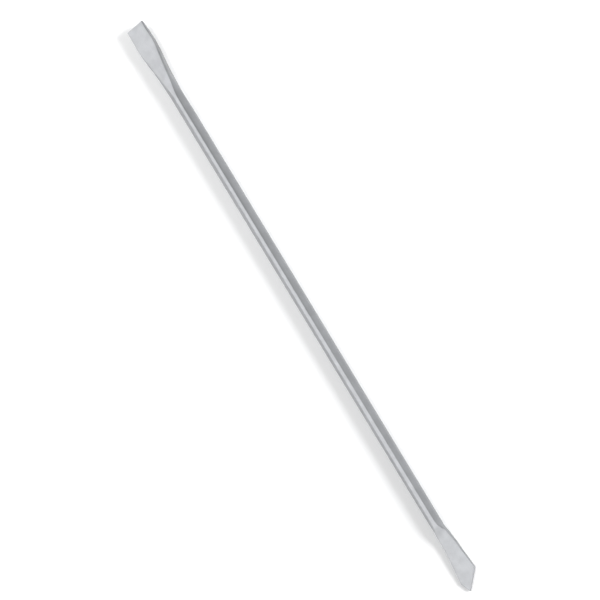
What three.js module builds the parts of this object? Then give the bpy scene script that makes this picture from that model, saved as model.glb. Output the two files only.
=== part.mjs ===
// Long octagonal pry bar, forged from one length of steel: a flared chisel at one end and a flattened
// diamond point at the other. Millimetres. +X runs from the chisel to the point, +Z is up, and the bar lies
// on its bottom flat with that flat at Z = 0 and the middle of its length at X = 0.

import * as THREE from "three";

// Overall
const LENGTH = 1500;
const CHISEL_TIP_X = -LENGTH / 2;
const POINT_TIP_X = LENGTH / 2;

// Octagonal shank: the distance across its flats and the width of those flats change evenly along it,
// because the bar was drawn out towards the point. The corners are what the flats leave.
const SHANK_AT_CHISEL = 26.4;
const SHANK_AT_POINT = 23.8;
const SHANK_FLAT_AT_CHISEL = 7.0;
const SHANK_FLAT_AT_POINT = 8.7;
const SHANK_CORNER_AT_CHISEL = (SHANK_AT_CHISEL - SHANK_FLAT_AT_CHISEL) / 2;
const SHANK_CORNER_AT_POINT = (SHANK_AT_POINT - SHANK_FLAT_AT_POINT) / 2;
const EDGE_RADIUS = 1.6;

// Chisel end, as [distance from the chisel's edge, size] pairs. The rise and the depth are measured from the
// middle of the shank's height, the lean is towards the left, -Y, and the upper right edge is worn rounder.
const CHISEL_LENGTH = 236;
const CHISEL_BEVEL_LENGTH = 24;
const CHISEL_OUT_OF_SQUARE = 1.2;
const CHISEL_HALF_WIDTH = [
  [0, 19.7], [24, 19.8], [48, 20.0], [66, 19.5], [88, 18.1], [115, 15.5], [142, 13.6], [172, 13.0],
];
const CHISEL_LEAN = [
  [24, 0], [45, 0.1], [66, 0.4], [85, 0.3], [110, 0.1], [142, -0.1], [172, -0.2], [206, 0],
];
const CHISEL_RISE = [
  [0, 6.4], [24, 7.0], [56, 7.0], [88, 7.8], [115, 9.2], [145, 11.2], [178, 12.7], [215, 13.2],
];
const CHISEL_DEPTH = [
  [0, 0.2], [24, 3.6], [45, 5.2], [60, 6.1], [88, 6.7], [115, 7.3], [145, 8.2], [170, 9.4], [236, 13.2],
];
const CHISEL_CORNER = [
  [0, 0.6], [62, 0.8], [90, 2.5], [115, 3.1], [142, 3.8], [158, 5.0], [173, 7.1], [188, 8.9],
];
const CHISEL_CORNER_END = 206;
const CHISEL_WORN_EDGE = [[0, 1.5], [25, 1.7], [44, 0.7]];

// Point end, as [distance from the point's tip, size] pairs. The lean is towards the left, -Y.
const POINT_LENGTH = 162;
const POINT_RIGHT_CORNER = 34;
const POINT_LEFT_CORNER = 25;
const POINT_HALF_WIDTH = [
  [25, 21.9], [34, 21.0], [53, 19.2], [71, 17.5], [88, 15.9], [106, 14.4], [120, 13.2], [136, 11.8],
  [146, 11.0], [156, 11.2],
];
const POINT_LEAN = [[34, 1.2], [106, 0]];
const POINT_TOP = [
  [0, 5.2], [34, 6.4], [53, 7.7], [71, 8.9], [88, 9.8], [106, 11.0], [120, 13.0], [134, 16.6],
  [144, 20.1], [153, 22.9],
];
const POINT_BOTTOM = [[0, 1.9], [34, 1.5], [53, 1.0], [71, 0.6], [88, 0.2], [106, 0]];
const POINT_EDGE = 0.6;
const POINT_TIP_Y = -14.2;
const POINT_TIP_WIDTH = 2.4;

// How finely the bar is cut: sections along the blades, sections where the shape turns fast, where that
// begins at the point's neck, facets along each rounded corner, and how far a corner may reach along a side
const BLADE_STEP = 8;
const FINE_STEP = 3;
const POINT_NECK = 134;
const CORNER_STEPS = 2;
const CORNER_REACH = 0.4;

// A smooth curve through [distance, size] pairs that never overshoots them (monotone cubic).
function curve(points, at) {
  const last = points.length - 1;
  if (at <= points[0][0]) return points[0][1];
  if (at >= points[last][0]) return points[last][1];
  const secant = (i) => (points[i + 1][1] - points[i][1]) / (points[i + 1][0] - points[i][0]);
  const slope = (i) => {
    if (i === 0) return secant(0);
    if (i === last) return secant(last - 1);
    const before = secant(i - 1);
    const after = secant(i);
    return before * after <= 0 ? 0 : (2 * before * after) / (before + after);
  };
  const i = points.findIndex((p) => p[0] > at) - 1;
  const span = points[i + 1][0] - points[i][0];
  const t = (at - points[i][0]) / span;
  const a = 2 * t ** 3 - 3 * t ** 2 + 1;
  const b = t ** 3 - 2 * t ** 2 + t;
  const c = 3 * t ** 2 - 2 * t ** 3;
  const d = t ** 3 - t ** 2;
  return a * points[i][1] + b * span * slope(i) + c * points[i + 1][1] + d * span * slope(i + 1);
}

// The same pairs with the shank's own size as the last of them.
const ending = (points, at, size) => [...points, [at, size]];

function mix(from, to, share) {
  return from + (to - from) * share;
}

// The section at x: where its left, right, bottom and top flats are, and how far its corners cut in. The
// chisel's upper right corner cuts in further than its others.
function sectionAt(x) {
  const fromChisel = x - CHISEL_TIP_X;
  const fromPoint = POINT_TIP_X - x;
  if (fromChisel < CHISEL_LENGTH) return chiselSection(fromChisel);
  if (fromPoint < POINT_LENGTH) return pointSection(fromPoint);
  const share = (fromChisel - CHISEL_LENGTH) / (LENGTH - CHISEL_LENGTH - POINT_LENGTH);
  const across = mix(SHANK_AT_CHISEL, SHANK_AT_POINT, share);
  const corner = mix(SHANK_CORNER_AT_CHISEL, SHANK_CORNER_AT_POINT, share);
  return { left: -across / 2, right: across / 2, bottom: 0, top: across, corner };
}

function chiselSection(at) {
  const middle = SHANK_AT_CHISEL / 2;
  const halfWidth = curve(ending(CHISEL_HALF_WIDTH, CHISEL_CORNER_END, middle), at);
  const lean = curve(CHISEL_LEAN, at);
  const face = (points) => {
    if (at >= CHISEL_BEVEL_LENGTH) return curve(points.slice(1), at);
    return mix(points[0][1], points[1][1], at / CHISEL_BEVEL_LENGTH);
  };
  const corner = curve(ending(CHISEL_CORNER, CHISEL_CORNER_END, SHANK_CORNER_AT_CHISEL), at);
  const worn = Math.max(corner, curve(CHISEL_WORN_EDGE, at));
  return {
    left: -halfWidth - lean,
    right: halfWidth - lean,
    bottom: middle - face(CHISEL_DEPTH),
    top: middle + face(CHISEL_RISE),
    corner,
    upperRight: worn,
  };
}

// The shank's corners run on into the point until its face has cut them away.
function pointSection(at) {
  const halfWidth = curve(ending(POINT_HALF_WIDTH, POINT_LENGTH, SHANK_AT_POINT / 2), at);
  const lean = curve(POINT_LEAN, at);
  const top = curve(ending(POINT_TOP, POINT_LENGTH, SHANK_AT_POINT), at);
  const cutAway = SHANK_AT_POINT / 2 - halfWidth + SHANK_AT_POINT - top;
  const section = {
    left: -halfWidth - lean,
    right: halfWidth - lean,
    bottom: curve(POINT_BOTTOM, at),
    top,
    corner: Math.max(POINT_EDGE, SHANK_CORNER_AT_POINT - cutAway),
  };
  if (at < POINT_LEFT_CORNER) {
    const tip = POINT_TIP_Y - POINT_TIP_WIDTH / 2;
    section.left = mix(tip, -POINT_HALF_WIDTH[0][1] - lean, at / POINT_LEFT_CORNER);
  }
  if (at < POINT_RIGHT_CORNER) {
    const tip = POINT_TIP_Y + POINT_TIP_WIDTH / 2;
    const widest = curve(POINT_HALF_WIDTH, POINT_RIGHT_CORNER) - lean;
    section.right = mix(tip, widest, at / POINT_RIGHT_CORNER);
  }
  return section;
}

// The section's closed outline as [y, z] pairs, counter-clockwise seen from the point end: an octagon whose
// eight corners are rounded.
function outline(section) {
  const { left, right, bottom, top, corner } = section;
  const upperRight = section.upperRight ?? corner;
  const corners = [
    [left + corner, bottom], [right - corner, bottom],
    [right, bottom + corner], [right, top - upperRight],
    [right - upperRight, top], [left + corner, top],
    [left, top - corner], [left, bottom + corner],
  ];
  const count = corners.length;
  return corners.flatMap((p, i) => rounded(corners[(i + count - 1) % count], p, corners[(i + 1) % count]));
}

// One corner of the outline as a short arc of points.
function rounded(before, corner, after) {
  const p = new THREE.Vector2(...corner);
  const back = new THREE.Vector2(...before).sub(p);
  const ahead = new THREE.Vector2(...after).sub(p);
  const turn = Math.PI - Math.abs(Math.acos(back.dot(ahead) / (back.length() * ahead.length())));
  const room = CORNER_REACH * Math.min(back.length(), ahead.length());
  const reach = Math.min(EDGE_RADIUS * Math.tan(turn / 2), room);
  const start = p.clone().addScaledVector(back.normalize(), reach);
  const end = p.clone().addScaledVector(ahead.normalize(), reach);
  const points = [];
  for (let i = 0; i <= CORNER_STEPS; i += 1) {
    const t = i / CORNER_STEPS;
    const near = start.clone().lerp(p, t);
    points.push(near.lerp(p.clone().lerp(end, t), t).toArray());
  }
  return points;
}

// Where the sections are cut: close together where the shape changes, at every ground edge, and nowhere on
// the shank, whose facets are flat.
function stations() {
  const steps = (from, to, step) => {
    const count = Math.ceil((to - from) / step);
    return Array.from({ length: count }, (_, i) => from + i * step);
  };
  const fromChisel = [
    0, ...steps(CHISEL_BEVEL_LENGTH, CHISEL_LENGTH, BLADE_STEP), CHISEL_CORNER_END, CHISEL_LENGTH,
  ];
  const fromPoint = [
    ...steps(0, POINT_LEFT_CORNER, FINE_STEP), POINT_LEFT_CORNER,
    ...steps(POINT_RIGHT_CORNER, POINT_NECK, BLADE_STEP),
    ...steps(POINT_NECK, POINT_LENGTH, FINE_STEP), POINT_LENGTH,
  ];
  const xs = [...fromChisel.map((d) => CHISEL_TIP_X + d), ...fromPoint.map((d) => POINT_TIP_X - d)];
  return [...new Set(xs)].sort((a, b) => a - b);
}

// The chisel's edge ring, ground back along the bevel towards the right, a little out of square.
function outOfSquare(edge, bevelEnd) {
  const ys = edge.map((p) => p[1]);
  const left = Math.min(...ys);
  const width = Math.max(...ys) - left;
  return edge.map((p, i) => {
    const share = ((p[1] - left) / width) * (CHISEL_OUT_OF_SQUARE / CHISEL_BEVEL_LENGTH);
    return p.map((value, axis) => mix(value, bevelEnd[i][axis], share));
  });
}

// One closed skin over all the rings of points, capped at both ends.
function loft(rings) {
  const count = rings[0].length;
  const index = [];
  for (let r = 0; r + 1 < rings.length; r += 1) {
    for (let i = 0; i < count; i += 1) {
      const a = r * count + i;
      const b = r * count + ((i + 1) % count);
      index.push(a, b, a + count, b, b + count, a + count);
    }
  }
  const contour = (ring) => ring.map(([, y, z]) => new THREE.Vector2(y, z));
  const lastRing = (rings.length - 1) * count;
  for (const [a, b, c] of THREE.ShapeUtils.triangulateShape(contour(rings[0]), [])) {
    index.push(a, c, b);
  }
  for (const [a, b, c] of THREE.ShapeUtils.triangulateShape(contour(rings[rings.length - 1]), [])) {
    index.push(lastRing + a, lastRing + b, lastRing + c);
  }
  const geometry = new THREE.BufferGeometry();
  geometry.setAttribute("position", new THREE.Float32BufferAttribute(rings.flat(2), 3));
  geometry.setIndex(index);
  geometry.computeVertexNormals();
  return geometry;
}

const rings = stations().map((x) => outline(sectionAt(x)).map(([y, z]) => [x, y, z]));
rings[0] = outOfSquare(rings[0], rings[1]);

const bar = new THREE.Mesh(
  loft(rings),
  new THREE.MeshStandardMaterial({ color: 0xa9adb2, roughness: 0.45, metalness: 0.75 }),
);
bar.name = "forged_bar";

const part = new THREE.Group();
part.name = "pry_bar";
part.add(bar);

export default part;
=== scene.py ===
"""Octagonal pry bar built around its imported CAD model: one forged bar of satin steel on a pale floor."""

import math
import random

import bpy
import numpy as np
from mathutils import Matrix, Vector, noise


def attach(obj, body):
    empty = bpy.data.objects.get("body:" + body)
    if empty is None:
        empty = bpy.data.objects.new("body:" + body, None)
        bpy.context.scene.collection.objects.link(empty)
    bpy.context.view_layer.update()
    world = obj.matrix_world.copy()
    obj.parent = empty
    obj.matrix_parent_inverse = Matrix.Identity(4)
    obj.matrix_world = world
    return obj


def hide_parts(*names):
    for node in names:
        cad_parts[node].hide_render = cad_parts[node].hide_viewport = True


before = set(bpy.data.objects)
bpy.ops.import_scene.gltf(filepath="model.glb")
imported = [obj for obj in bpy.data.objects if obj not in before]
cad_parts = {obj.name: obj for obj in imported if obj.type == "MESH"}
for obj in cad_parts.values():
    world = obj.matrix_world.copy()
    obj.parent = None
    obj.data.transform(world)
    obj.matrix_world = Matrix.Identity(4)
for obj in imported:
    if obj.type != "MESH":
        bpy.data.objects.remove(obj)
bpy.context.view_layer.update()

# Lengths are in metres, in the frame of the CAD model: +X from the chisel to the point, +Z up.
MM = 0.001

# The forged ends, as distances from the bar's two tips
CHISEL_BEVEL = 24 * MM
CHISEL_BLADE = 85 * MM
CHISEL_END = 236 * MM
POINT_RIGHT_CORNER = 34 * MM
POINT_LEFT_CORNER = 25 * MM
POINT_END = 162 * MM

# The section: its flats and corners are counted round it from the bottom flat, and the CAD model has
# three points at each corner. Places nearer together than SAME_PLACE count as one, and a column counts as
# a corner's middle if it is nearer to it than CORNER_MIDDLE, on a scale from 0 to 1.
CORNERS = 8
CAD_CORNER_POINTS = 3
BOTTOM, RIGHT_SIDE, TOP, LEFT_SIDE = 0, 2, 4, 6
SAME_PLACE = 0.001 * MM
CORNER_MIDDLE = 0.9

# How finely the skin is cut, along the bar and round it, and from what angle an edge is shaded as sharp
END_STEP = 1.0 * MM
SHANK_STEP = 4.0 * MM
CORNER_CUTS = 4
FLAT_CUTS = 6
COLUMNS_PER_CORNER = CORNER_CUTS + FLAT_CUTS
SHARP_ANGLE = math.radians(38)

# How the rolls, the hammer and the scale have marked the skin: how deep, how many waves to a metre along
# X, Y and Z, and a shift that keeps one noise from repeating another. The hammer worked only the ends.
ROLLED = (0.045 * MM, (11, 26, 26), (0, 0, 4))
HAMMERED = (0.10 * MM, (48, 60, 60), (9, 0, 0))
SCALED = (0.018 * MM, (190, 230, 230), (0, 3, 0))
HAMMERED_LENGTH = 250 * MM
HAMMERED_FADE = 60 * MM

# How far the edges round the two tips are broken
TIP_BREAK = 0.4 * MM

# Knocks from use: how many, the share within reach of an end, the share on a corner, the span of their
# sizes, how fast they fade from their middle, and how many sections one can touch to either side
SEED = 46
KNOCKS = 150
KNOCKS_NEAR_END = 0.45
KNOCKS_REACH = 150 * MM
KNOCKS_ON_CORNER = 0.75
KNOCK_RADIUS = (1.0 * MM, 3.2 * MM)
KNOCK_DEPTH = (0.06 * MM, 0.30 * MM)
KNOCK_FADE = 1.6
KNOCK_ROWS = 12

# How much painted shade darkens the side flats, the shank's corner facets and the chisel's right side,
# from 0 to 1
SIDE_SHADE = 0.67
CORNER_SHADE = 0.27
CHISEL_SIDE_SHADE = 1.0

# The dark line where the top flat meets the upper right corner facet: where it rises and ends, as
# distances from the chisel's edge, and its width in columns of the skin
DARK_LINE_START = 150 * MM
DARK_LINE_RISE = 40 * MM
DARK_LINE_END = 950 * MM
DARK_LINE_FADE = 500 * MM
DARK_LINE_COLUMNS = 2.2

# The steel's and the floor's colours and surfaces
STEEL_LIGHT = (0.395, 0.402, 0.416, 1)
STEEL_MID = (0.350, 0.356, 0.368, 1)
# STEEL_DARK colours the painted shade on the sides and corner facets, the dark line by the top flat, and
# the pits
STEEL_DARK = (0.240, 0.244, 0.252, 1)
STEEL_RUBBED = (0.50, 0.51, 0.52, 1)
STEEL_ROUGHNESS = 0.33
STEEL_METALLIC = 0.92
FLOOR_PALE = (0.95, 0.95, 0.95, 1)
FLOOR_PALER = (0.97, 0.97, 0.97, 1)
FLOOR_ROUGHNESS = 0.9
FLOOR_GLOSS = 0.1
FLOOR_HALF_WIDTH = 20

# The lamps: the softbox faces down, and the key shines from its place towards the origin
SOFTBOX_PLACE = (-1.5, -0.85, 2.0)
SOFTBOX_SIZE = (5.4, 1.5)
SOFTBOX_POWER = 48
KEY_FROM = Vector((3.4, 4.4, 1.85))
KEY_ANGLE = math.radians(22)
KEY_STRENGTH = 5.4

# The room: how bright its walls and its ceiling are, and the heights between which one gives way to the
# other, from 0 at the horizon to 1 overhead
ROOM_COLOUR = (0.98, 0.99, 1.0, 1)
WALL_LIGHT = 0.92
CEILING_LIGHT = 0.26
WALL_TOP = 0.38
CEILING_EDGE = 0.62

# The camera: its direction from the bar, how the bar lies in the picture, how far it aims from the bar's
# middle, the width of the view, and its lens and sensor in millimetres
TOWARDS_CAMERA = Vector((0.55, 0.2993, 0.7797)).normalized()
BAR_RIGHT = 0.5170
BAR_DOWN = 0.8560
AIM_RIGHT = -5.9 * MM
AIM_UP = 7.3 * MM
AIM_HEIGHT = 13 * MM
VIEW_WIDTH = 1.1543
LENS = 1500
SENSOR = 36


# ---------------------------------------------------------------- the bar's skin


def cad_rings(node):
    """The CAD node's sections from the chisel to the point, each with its points in order round it."""
    points = np.array([v.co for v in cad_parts[node].data.vertices])
    # Unique points come sorted by x, so each section's points stand together
    points = np.unique(points.round(7), axis=0)
    count = CAD_CORNER_POINTS * CORNERS
    rings = []
    for ring in points.reshape(-1, count, 3):
        middle = (ring.min(0) + ring.max(0)) / 2
        ring = ring[np.argsort(np.arctan2(ring[:, 2] - middle[2], ring[:, 1] - middle[1]))]
        lowest = np.flatnonzero(ring[:, 2] < ring[:, 2].min() + SAME_PLACE)
        corner_end = lowest[np.argmin(ring[lowest, 1])]
        rings.append(np.roll(ring, CAD_CORNER_POINTS - 1 - corner_end, axis=0))
    # The chisel's edge slants, so its ring is turned until it matches the next one
    turned = [np.roll(rings[0], k, axis=0) for k in range(count)]
    rings[0] = min(turned, key=lambda ring: ((ring - rings[1]) ** 2).sum())
    return np.array(rings)


def finer_round(rings):
    """More points round each section: an arc at each corner, and cuts across each flat."""
    columns = []
    for k in range(CORNERS):
        first = CAD_CORNER_POINTS * k
        start, middle, end = (rings[:, first + i] for i in range(CAD_CORNER_POINTS))
        handle = 2 * middle - (start + end) / 2
        for t in np.linspace(0, 1, CORNER_CUTS + 1):
            columns.append((1 - t) ** 2 * start + 2 * t * (1 - t) * handle + t * t * end)
        onward = rings[:, (first + CAD_CORNER_POINTS) % rings.shape[1]]
        for t in np.linspace(0, 1, FLAT_CUTS + 1)[1:-1]:
            columns.append((1 - t) * end + t * onward)
    return np.stack(columns, axis=1)


def along(x, y, at):
    """Values y, known at x, read at other places on a curve that never overshoots (monotone cubic)."""
    width = np.diff(x)[:, None, None]
    secant = np.diff(y, axis=0) / width
    before, after = secant[:-1], secant[1:]
    same = before * after > 0
    slope = np.zeros_like(y)
    slope[1:-1] = np.where(same, 2 * before * after / np.where(same, before + after, 1), 0)
    slope[0], slope[-1] = secant[0], secant[-1]
    i = np.clip(np.searchsorted(x, at, "right") - 1, 0, len(x) - 2)
    h = width[i]
    t = (at - x[i])[:, None, None] / h
    known = (2 * t**3 - 3 * t**2 + 1) * y[i] + (3 * t**2 - 2 * t**3) * y[i + 1]
    return known + h * ((t**3 - 2 * t**2 + t) * slope[i] + (t**3 - t**2) * slope[i + 1])


def finer_along(rings):
    """More sections along the bar, smooth within each stretch and crisp where two stretches meet."""
    x = rings[:, :, 0].min(1)
    first, last = x[0], x[-1]
    breaks = [first, first + CHISEL_BEVEL, first + CHISEL_END, last - POINT_END,
              last - POINT_RIGHT_CORNER, last - POINT_LEFT_CORNER, last]
    steps = [END_STEP, END_STEP, SHANK_STEP, END_STEP, END_STEP, END_STEP]
    out = []
    for low, high, step in zip(breaks, breaks[1:], steps):
        inside = (x > low - SAME_PLACE) & (x < high + SAME_PLACE)
        at = np.linspace(low, high, max(2, round((high - low) / step) + 1))
        piece = along(x[inside], rings[inside], at)
        out.append(piece if high == last else piece[:-1])
    return np.concatenate(out)


def outward(points):
    """Unit normals of a grid of points: sections along the first axis, closed rings along the second."""
    lengthwise = np.gradient(points, axis=0)
    round_about = np.roll(points, -1, axis=1) - np.roll(points, 1, axis=1)
    normal = np.cross(round_about, lengthwise)
    return normal / np.linalg.norm(normal, axis=2, keepdims=True)


def flat_of(columns):
    """For each column of the skin, the flat that it is on or next to, and how near a corner it is."""
    flat, arris = [], []
    for column in range(columns):
        corner, place = divmod(column, COLUMNS_PER_CORNER)
        if place <= CORNER_CUTS:
            flat.append(corner if place > CORNER_CUTS / 2 else (corner - 1) % CORNERS)
            arris.append(math.sin(math.pi * place / CORNER_CUTS))
        else:
            flat.append(corner)
            arris.append(0.0)
    return np.array(flat), np.array(arris)


def worn(place, depth, waves, shift):
    """How deep one kind of mark is at a place, from 0 to about twice its depth."""
    at = Vector([p * w + o for p, w, o in zip(place, waves, shift)])
    return depth * (1 + noise.noise(at))


def rolling(points):
    """How far the surface lies under its nominal shape, from the rolls, the hammer and the scale."""
    first, last = points[0, 0, 0], points[-1, 0, 0]
    depth = np.zeros(points.shape[:2])
    for r, ring in enumerate(points):
        x = ring[0][0]
        from_end = min(x - first, last - x)
        forged = max(0.0, min(1.0, (HAMMERED_LENGTH - from_end) / HAMMERED_FADE))
        for c, place in enumerate(ring):
            depth[r, c] = worn(place, *ROLLED) + forged * worn(place, *HAMMERED) + worn(place, *SCALED)
    return depth


def dents(points, arris, rng):
    """The depths of small knocks, mostly on the arrises and near the two ends."""
    first, last = points[0, 0, 0], points[-1, 0, 0]
    depth = np.zeros(points.shape[:2])
    edges = np.flatnonzero(arris > CORNER_MIDDLE)
    for _ in range(KNOCKS):
        near_end = rng.random() < KNOCKS_NEAR_END
        reach = rng.random() * (KNOCKS_REACH if near_end else (last - first) / 2)
        x = first + reach if rng.random() < 0.5 else last - reach
        on_corner = rng.random() < KNOCKS_ON_CORNER
        column = rng.choice(list(edges)) if on_corner else rng.randrange(points.shape[1])
        row = int(np.argmin(abs(points[:, 0, 0] - x)))
        radius = rng.uniform(*KNOCK_RADIUS)
        deep = rng.uniform(*KNOCK_DEPTH)
        low, high = max(0, row - KNOCK_ROWS), min(len(points), row + KNOCK_ROWS + 1)
        away = np.linalg.norm(points[low:high] - points[row, column], axis=2) / radius
        depth[low:high] = np.maximum(depth[low:high], deep * np.exp(-KNOCK_FADE * away**2))
    return depth


def capped(points, normals):
    """The skin with both tips' edges broken, ready to be closed by a face at each end."""
    ends = []
    for end, inward in ((0, 1), (-1, -1)):
        rim = points[end].copy()
        rim[:, 1:] -= TIP_BREAK * normals[end, :, 1:]
        shoulder = points[end].copy()
        shoulder[:, 0] += inward * TIP_BREAK
        ends.append((rim, shoulder))
    (rim_a, shoulder_a), (rim_b, shoulder_b) = ends
    return np.concatenate([[rim_a], [shoulder_a], points[1:-1], [shoulder_b], [rim_b]])


def skin_mesh(points):
    """A closed mesh over the grid of points."""
    count, across = points.shape[:2]
    faces = []
    for r in range(count - 1):
        for c in range(across):
            a, b = r * across + c, r * across + (c + 1) % across
            faces.append((a, b, b + across, a + across))
    faces.append(tuple(range(across))[::-1])
    faces.append(tuple(range((count - 1) * across, count * across)))
    mesh = bpy.data.meshes.new("bar_skin")
    mesh.from_pydata(points.reshape(-1, 3).tolist(), [], faces)
    mesh.shade_smooth()
    mesh.set_sharp_from_angle(angle=SHARP_ANGLE)
    return mesh


def paint(mesh, name, values):
    """A value from 0 to 1 at each vertex, which the material reads."""
    attribute = mesh.attributes.new(name, "FLOAT", "POINT")
    attribute.data.foreach_set("value", np.ascontiguousarray(values, np.float32).ravel())


def zones(points, flat):
    """How much each place is ground, darkened by painted shade, and rough from the cut that made the
    point, from 0 to 1.
    """
    first, last = points[0, :, 0].min(), points[-1, 0, 0]
    x = points[:, :, 0]
    flats = np.broadcast_to(flat, x.shape)
    right = (flats > BOTTOM) & (flats < TOP)
    upright = (flats == RIGHT_SIDE) | (flats == LEFT_SIDE)
    corner = ~upright & (flats != TOP) & (flats != BOTTOM)
    on_shank = (x > first + CHISEL_END / 2) & (x < last - POINT_END)
    ground = (flats == BOTTOM) & (x < first + CHISEL_BEVEL)
    cut = right & (x > last - POINT_RIGHT_CORNER)
    # Painted shade: the side flats, the point's cut sides, the shank's corner facets and the chisel's
    # right side are painted darker
    dark = SIDE_SHADE * (upright | cut) + CORNER_SHADE * (corner & on_shank)
    chisel_painted_shade = right * np.interp(x - first, (CHISEL_BLADE, CHISEL_END / 2), (CHISEL_SIDE_SHADE, 0))
    return ground, np.maximum(dark, chisel_painted_shade), cut


def dark_line(points):
    """How strong the dark line is beside the top flat: full by the chisel, and gone past the middle."""
    x = points[:, :, 0] - points[0, :, 0].min()
    rises = np.clip((x - DARK_LINE_START) / DARK_LINE_RISE, 0, 1)
    fades = np.clip((DARK_LINE_END - x) / DARK_LINE_FADE, 0, 1)
    place = np.arange(points.shape[1]) - TOP * COLUMNS_PER_CORNER
    return rises * fades * np.exp(-((place / DARK_LINE_COLUMNS) ** 2))


def make_bar():
    """The bar's skin: the CAD sections cut finer, marked, closed at both tips, and painted in zones."""
    rng = random.Random(SEED)
    points = finer_along(finer_round(cad_rings("forged_bar")))
    flat, arris = flat_of(points.shape[1])
    normals = outward(points)
    knocks = dents(points, arris, rng)
    points = points - normals * (rolling(points) + knocks)[:, :, None]
    points = capped(points, normals)
    ground, dark, cut = zones(points, flat)
    mesh = skin_mesh(points)
    paint(mesh, "arris", np.broadcast_to(arris, ground.shape))
    paint(mesh, "ground", ground)
    paint(mesh, "painted_shade", dark)
    paint(mesh, "cut", cut)
    paint(mesh, "dark_line", dark_line(points))
    paint(mesh, "knock", np.pad(knocks, ((1, 1), (0, 0)), "edge") / KNOCK_DEPTH[1])
    bar = bpy.data.objects.new("bar_skin", mesh)
    bpy.context.collection.objects.link(bar)
    return bar


# ---------------------------------------------------------------- materials


class Nodes:
    """A short way to write a material's nodes."""

    def __init__(self, name):
        self.material = bpy.data.materials.new(name)
        self.material.use_nodes = True
        self.tree = self.material.node_tree
        self.tree.nodes.clear()

    def add(self, kind, inputs=None, **settings):
        node = self.tree.nodes.new("ShaderNode" + kind)
        for key, value in settings.items():
            setattr(node, key, value)
        for key, value in (inputs or {}).items():
            if isinstance(value, bpy.types.NodeSocket):
                self.tree.links.new(value, node.inputs[key])
            else:
                node.inputs[key].default_value = value
        return node

    def maths(self, operation, a, b):
        return self.add("Math", {0: a, 1: b}, operation=operation).outputs[0]

    def blend(self, share, a, b):
        """Colour a where share is 0, and b where it is 1."""
        node = self.add("Mix", data_type="RGBA")
        sockets = {"Factor": share, "A": a, "B": b}
        for name, value in sockets.items():
            socket = [s for s in node.inputs if s.name == name and s.enabled][0]
            if isinstance(value, bpy.types.NodeSocket):
                self.tree.links.new(value, socket)
            else:
                socket.default_value = value
        return [s for s in node.outputs if s.enabled][0]

    def ramp(self, value, low, high):
        """0 below low, 1 above high, and smooth between them."""
        inputs = {"Value": value, "From Min": low, "From Max": high}
        return self.add("MapRange", inputs, interpolation_type="SMOOTHSTEP").outputs["Result"]

    def bump(self, height, strength, depth, under=None, invert=False):
        """Normals tilted by a height, over those of the layer under it."""
        inputs = {"Height": height, "Strength": strength, "Distance": depth}
        if under is not None:
            inputs["Normal"] = under
        return self.add("Bump", inputs, invert=invert).outputs[0]

    def noise(self, place, scale, detail=3.0, roughness=0.55, stretch=(1, 1, 1), turn=0.0):
        """Noise from 0 to 1 with about scale features per metre, stretched, and turned about Z."""
        mapped = self.add("Mapping", {"Vector": place, "Rotation": (0, 0, turn), "Scale": stretch})
        inputs = {"Vector": mapped.outputs[0], "Scale": scale, "Detail": detail, "Roughness": roughness}
        return self.add("TexNoise", inputs).outputs["Fac"]


def steel():
    """Satin silver-grey steel: shot-blasted skin, ground edge, rubbed arrises and a few dark pits; its
    sides are darkened by painted shade.
    """
    n = Nodes("satin_steel")
    place = n.add("TexCoord").outputs["Object"]
    zone = {
        name: n.add("Attribute", attribute_name=name).outputs["Fac"]
        for name in ("arris", "ground", "painted_shade", "cut", "dark_line", "knock")
    }

    blotch = n.noise(place, 38, detail=4)
    mottle = n.noise(place, 420, roughness=0.6)
    grit = n.noise(place, 2600, detail=2, roughness=0.6)
    drawn = n.noise(place, 900, roughness=0.6, stretch=(0.02, 1, 1))
    grind = n.noise(place, 1500, detail=2, roughness=0.5, stretch=(0.035, 1, 1), turn=0.12)
    specks = n.noise(place, 330, detail=2, roughness=0.5)
    one_way = n.noise(place, 700, detail=1, roughness=0.4, stretch=(0.03, 1, 1), turn=0.35)
    other_way = n.noise(place, 640, detail=1, roughness=0.4, stretch=(0.035, 1, 1), turn=-0.9)
    pits = n.ramp(specks, 0.70, 0.76)
    scratches = n.maths("MAXIMUM", n.ramp(one_way, 0.70, 0.74), n.ramp(other_way, 0.71, 0.75))
    rubbed = n.maths("MULTIPLY", zone["arris"], n.ramp(mottle, 0.35, 0.60))

    colour = n.blend(n.ramp(blotch, 0.36, 0.66), STEEL_MID, STEEL_LIGHT)
    tints = (
        (n.ramp(mottle, 0.40, 0.75), 0.28, STEEL_MID),
        (n.ramp(drawn, 0.45, 0.75), 0.22, STEEL_LIGHT),
        # painted shade on the side flats and corner facets
        (zone["painted_shade"], 0.80, STEEL_DARK),
        # a dark line painted along the top flat's upper right edge
        (zone["dark_line"], 0.70, STEEL_DARK),
        (pits, 0.45, STEEL_DARK),
        (rubbed, 0.15, STEEL_RUBBED),
        (scratches, 0.30, STEEL_RUBBED),
    )
    for where, share, tint in tints:
        colour = n.blend(n.maths("MULTIPLY", where, share), colour, tint)

    rough = STEEL_ROUGHNESS
    changes = (
        (mottle, 0.12),
        (n.maths("SUBTRACT", grit, 0.5), 0.10),
        (zone["painted_shade"], 0.06),
        (zone["cut"], 0.40),
        (zone["ground"], -0.07),
        (zone["knock"], -0.06),
    )
    for where, change in changes:
        rough = n.maths("ADD", rough, n.maths("MULTIPLY", where, change))

    grind_lines = n.maths("MULTIPLY", grind, zone["ground"])
    hollows = n.maths("ADD", pits, scratches)
    blasted = n.bump(grit, strength=0.35, depth=0.06 * MM)
    skin = n.bump(mottle, strength=0.40, depth=0.12 * MM, under=blasted)
    lined = n.bump(grind_lines, strength=0.5, depth=0.05 * MM, under=skin)
    hollowed = n.bump(hollows, strength=0.5, depth=0.05 * MM, under=lined, invert=True)

    inputs = {"Base Color": colour, "Metallic": STEEL_METALLIC, "Roughness": rough, "Normal": hollowed}
    surface = n.add("BsdfPrincipled", inputs)
    n.add("OutputMaterial", {"Surface": surface.outputs[0]})
    return n.material


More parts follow.
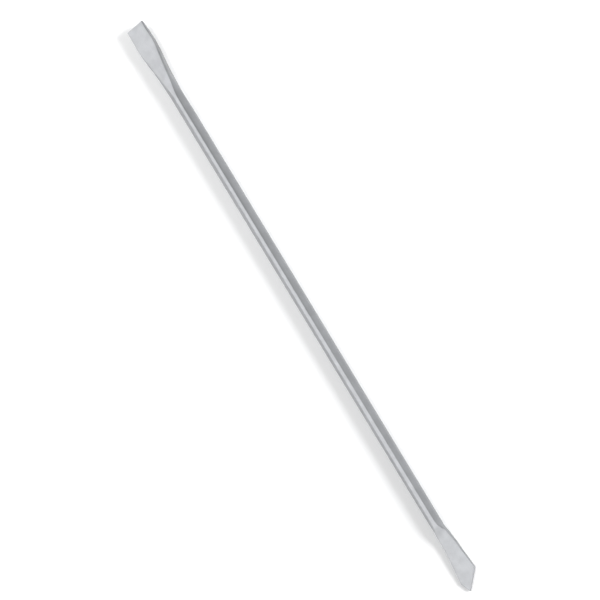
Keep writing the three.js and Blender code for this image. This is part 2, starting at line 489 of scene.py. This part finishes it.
def floor_paint():
    """A matt, almost white floor, a little uneven in tone."""
    n = Nodes("pale_floor")
    place = n.add("TexCoord").outputs["Object"]
    colour = n.blend(n.noise(place, 3, detail=2), FLOOR_PALE, FLOOR_PALER)
    inputs = {"Base Color": colour, "Roughness": FLOOR_ROUGHNESS, "Specular IOR Level": FLOOR_GLOSS}
    surface = n.add("BsdfPrincipled", inputs)
    n.add("OutputMaterial", {"Surface": surface.outputs[0]})
    return n.material


# ---------------------------------------------------------------- floor, light and camera


def make_floor():
    """A flat floor under the bar, far wider than the view."""
    half = FLOOR_HALF_WIDTH
    corners = [(-half, -half, 0), (half, -half, 0), (half, half, 0), (-half, half, 0)]
    mesh = bpy.data.meshes.new("floor")
    mesh.from_pydata(corners, [], [(0, 1, 2, 3)])
    mesh.materials.append(floor_paint())
    floor = bpy.data.objects.new("floor", mesh)
    bpy.context.collection.objects.link(floor)


def hang(light, place, away):
    """A lamp at a place, shining opposite to a direction, unseen by the camera."""
    lamp = bpy.data.objects.new(light.name, light)
    lamp.location = place
    lamp.rotation_euler = away.to_track_quat("Z", "Y").to_euler()
    lamp.visible_camera = False
    bpy.context.collection.objects.link(lamp)


def make_lights():
    """A wide softbox over the bar, and a distant key lamp, low on the bar's right."""
    softbox = bpy.data.lights.new("softbox", "AREA")
    softbox.shape = "RECTANGLE"
    softbox.size, softbox.size_y = SOFTBOX_SIZE
    softbox.energy = SOFTBOX_POWER
    hang(softbox, SOFTBOX_PLACE, Vector((0, 0, 1)))
    key = bpy.data.lights.new("key", "SUN")
    key.angle = KEY_ANGLE
    key.energy = KEY_STRENGTH
    hang(key, KEY_FROM, KEY_FROM)


def make_world():
    """A pale room: walls brighter than the ceiling."""
    world = bpy.data.worlds.new("studio")
    world.use_nodes = True
    tree = world.node_tree
    place = tree.nodes.new("ShaderNodeTexCoord")
    split = tree.nodes.new("ShaderNodeSeparateXYZ")
    height = tree.nodes.new("ShaderNodeMapRange")
    height.inputs["From Min"].default_value = WALL_TOP
    height.inputs["From Max"].default_value = CEILING_EDGE
    height.inputs["To Min"].default_value = WALL_LIGHT
    height.inputs["To Max"].default_value = CEILING_LIGHT
    tree.links.new(place.outputs["Generated"], split.inputs[0])
    tree.links.new(split.outputs["Z"], height.inputs["Value"])
    background = tree.nodes["Background"]
    background.inputs["Color"].default_value = ROOM_COLOUR
    tree.links.new(height.outputs["Result"], background.inputs["Strength"])
    bpy.context.scene.world = world
    bpy.context.scene.view_settings.view_transform = "Standard"


def make_camera():
    """A long lens from far away, so that perspective hardly shows along the bar."""
    toward = TOWARDS_CAMERA
    along_bar = (Vector((1, 0, 0)) - toward * toward.x).normalized()
    across_bar = toward.cross(along_bar)
    right = (BAR_RIGHT * along_bar + BAR_DOWN * across_bar).normalized()
    up = toward.cross(right)
    aim = Vector((0, 0, AIM_HEIGHT)) + AIM_RIGHT * right + AIM_UP * up
    distance = VIEW_WIDTH * LENS / SENSOR
    data = bpy.data.cameras.new("camera")
    data.lens, data.sensor_width = LENS, SENSOR
    data.clip_start, data.clip_end = 1, 4 * distance
    camera = bpy.data.objects.new("camera", data)
    turned = Matrix((right, up, toward)).transposed().to_4x4()
    camera.matrix_world = Matrix.Translation(aim + toward * distance) @ turned
    bpy.context.collection.objects.link(camera)
    bpy.context.scene.camera = camera


bar = make_bar()
bar.data.materials.append(steel())
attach(bar, "root")
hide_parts("forged_bar")
make_floor()
make_lights()
make_world()
make_camera()
